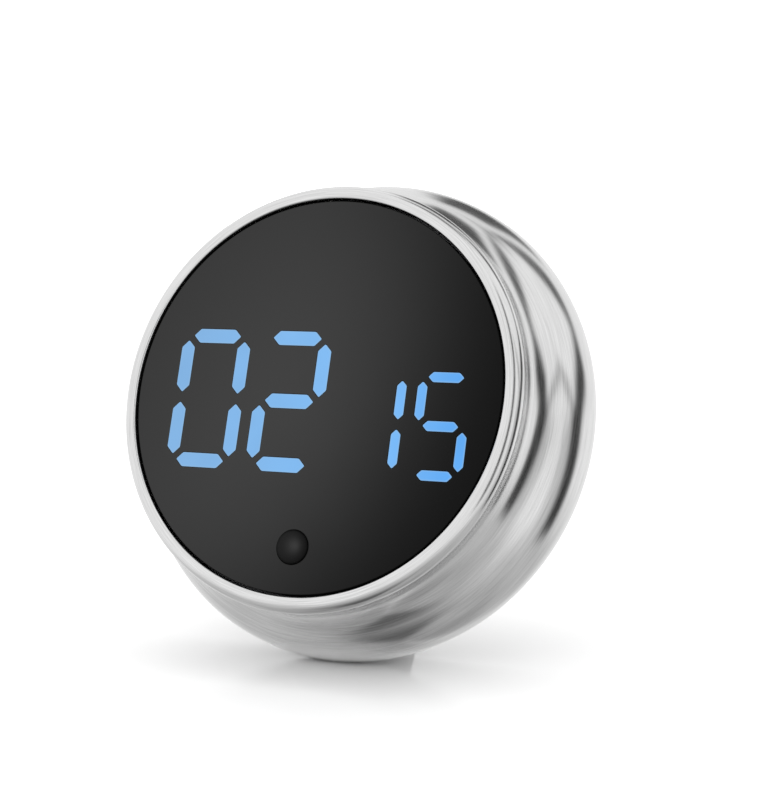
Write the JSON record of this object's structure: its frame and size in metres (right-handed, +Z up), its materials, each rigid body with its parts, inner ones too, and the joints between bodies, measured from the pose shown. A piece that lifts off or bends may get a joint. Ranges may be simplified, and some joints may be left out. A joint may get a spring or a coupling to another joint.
{
  "type": "kitchen timer",
  "caption": "Round digital kitchen timer, its brushed-steel ring turned to set the time, leaning back on its rim and a flip-out foot.",
  "frame": {"origin": "middle of the bounding box's base, on the surface that the timer stands on", "axes": "-Y is the way the display faces, leaning back by 17.65 degrees; +Z is up; +X is to the right as the display is read"},
  "size_m": [0.078, 0.0466, 0.0752],
  "materials": {
    "brushed_steel": "circumferentially brushed stainless steel",
    "black_panel": "soft-touch black",
    "lit_window": "lit light-blue display window",
    "dark_window": "unlit display window",
    "black_plastic": "fine moulded texture",
    "grey_plastic": "moulded",
    "white_plastic": "moulded",
    "led_chip": "phosphor top",
    "circuit_board": "solder mask",
    "chip_black": "epoxy",
    "component_tan": "ceramic",
    "zinc_screw": "zinc plated",
    "cell_sleeve": "printed foil sleeve, no marks",
    "contact_metal": "nickel plated",
    "magnet_metal": "nickel plated",
    "black_rubber": "matte",
    "lead_red": "wire insulation"
  },
  "bodies": {
    "housing": {"glide_washer": "white_plastic", "front_panel": "black_panel", "digit_windows_lit": "lit_window", "digit_windows_unlit": "dark_window", "panel_tape": "white_plastic", "diffuser_film": "white_plastic", "light_box": "white_plastic", "led_chips": "led_chip", "main_board": "circuit_board", "controller_chip": "chip_black", "board_components": "component_tan", "board_screws": "zinc_screw", "tact_switch": "grey_plastic", "encoder_body": "grey_plastic", "piezo_buzzer": "chip_black", "inner_chassis": "black_plastic", "battery_tray": "black_plastic", "cell_1": "cell_sleeve", "cell_2": "cell_sleeve", "cell_3": "cell_sleeve", "contact_plates": "contact_metal", "contact_springs": "contact_metal", "rear_cover": "black_plastic", "housing_screws": "zinc_screw", "magnets": "magnet_metal", "grip_pads": "black_rubber", "switch_board": "circuit_board", "switch_body": "grey_plastic", "switch_leads": "lead_red", "foot_pin": "zinc_screw"},
    "ring": {"steel_ring": "brushed_steel", "ring_carrier": "grey_plastic"},
    "encoder": {"encoder_shaft": "zinc_screw", "encoder_pinion": "white_plastic"},
    "start_button": {"start_button": "black_panel", "tact_plunger": "white_plastic"},
    "volume_slider": {"volume_slider": "grey_plastic"},
    "battery_door": {"battery_door": "black_plastic"},
    "stand_foot": {"stand_foot": "black_plastic", "foot_sole": "black_rubber"}
  },
  "joints": [
    {"name": "ring_spin", "type": "hinge", "parent": "housing", "child": "ring", "pos_m": [0, -0.00407, 0.04028], "axis": [0, -0.9529, 0.3032], "continuous": true},
    {"name": "encoder_spin", "type": "hinge", "parent": "housing", "child": "encoder", "pos_m": [0.022, -0.00122, 0.03937], "axis": [0, -0.9529, 0.3032], "continuous": true},
    {"name": "button_press", "type": "slide", "parent": "housing", "child": "start_button", "axis": [0, 0.9529, -0.3032], "range_m": [0, 0.0004], "stiffness_N_per_m": 1500, "springref_m": -0.0004},
    {"name": "volume_slide", "type": "slide", "parent": "housing", "child": "volume_slider", "axis": [1, 0, 0], "range_m": [-0.002, 0.002]},
    {"name": "door_lift", "type": "slide", "parent": "housing", "child": "battery_door", "axis": [0, 0.9529, -0.3032], "range_m": [0, 0.03]},
    {"name": "foot_fold", "type": "hinge", "parent": "housing", "child": "stand_foot", "pos_m": [0, 0.00238, 0.00779], "axis": [1, 0, 0], "range_deg": [0, 127]}
  ],
  "couplings": [
    {"joint": "encoder_spin", "follows": "ring_spin", "ratio": 4.1429}
  ]
}
